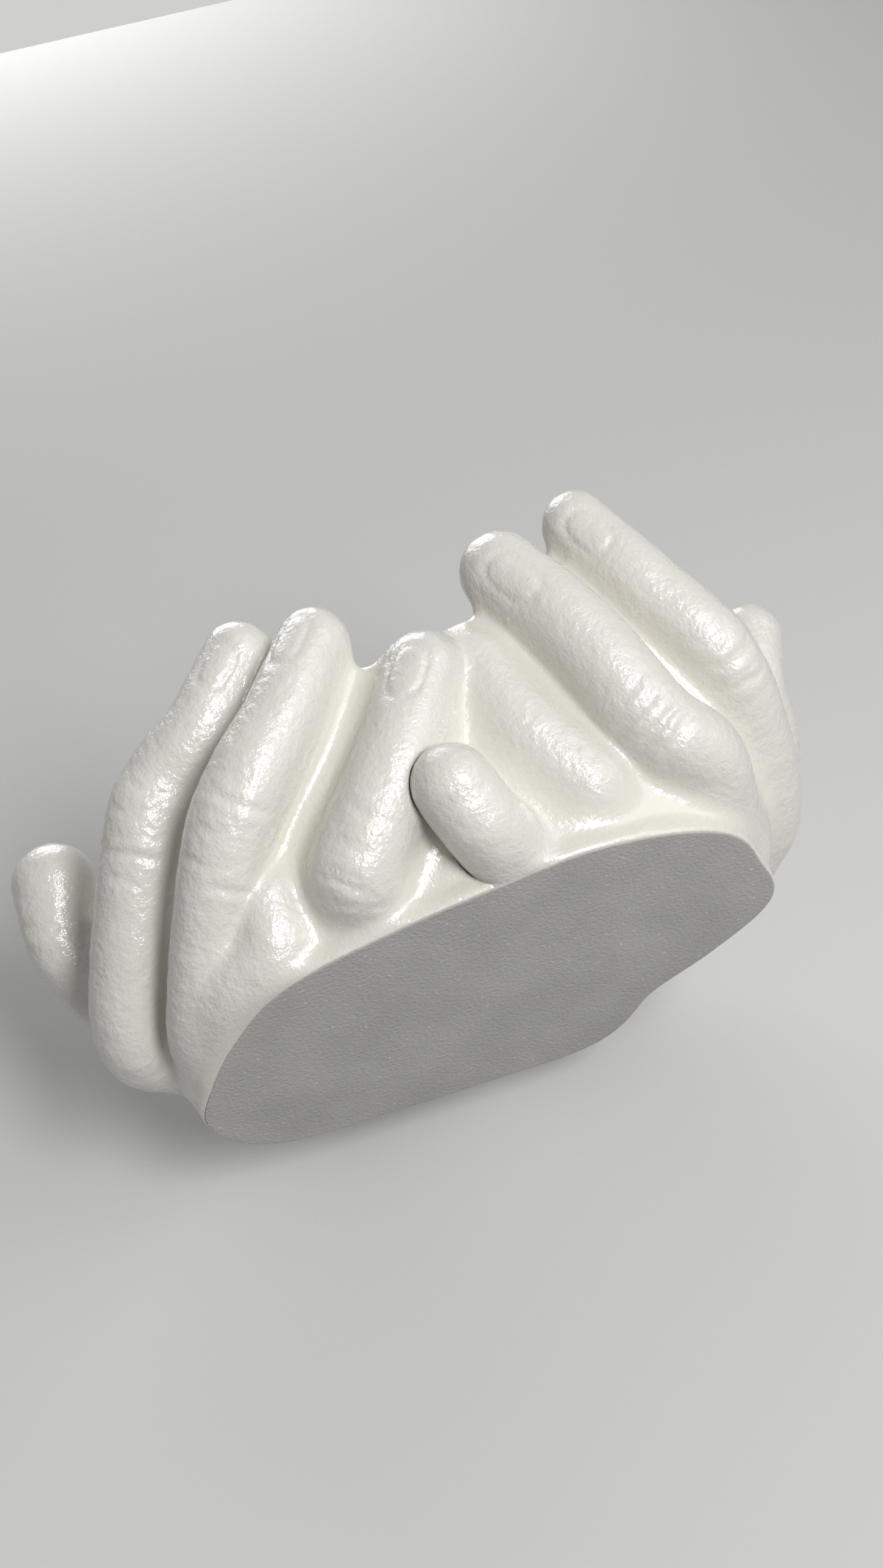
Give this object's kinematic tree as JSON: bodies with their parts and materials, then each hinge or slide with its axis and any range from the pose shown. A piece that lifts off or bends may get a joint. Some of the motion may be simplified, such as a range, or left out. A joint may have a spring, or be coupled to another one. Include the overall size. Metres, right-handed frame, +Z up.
{
  "type": "cupped hands ornament",
  "caption": "Cast hands cupped side by side, palms up, into a shallow dish. Glossy white outside, a little finger crossing over the other hand, on a flat bare grey underside.",
  "frame": {"origin": "on the flat underside, below the middle of the bowl", "axes": "+Z up out of the bowl, -Y towards the backs of the fingers, +X along the length towards the right hand"},
  "size_m": [0.1151, 0.0761, 0.05],
  "materials": {
    "enamel": "white gloss paint, pooled slightly cream in the hollows",
    "bare_cast": "bare cast plaster, matte and faintly pitted"
  },
  "bodies": {
    "root": {"left_hand": "enamel", "right_hand": "enamel", "base_fill": "bare_cast"}
  },
  "joints": []
}
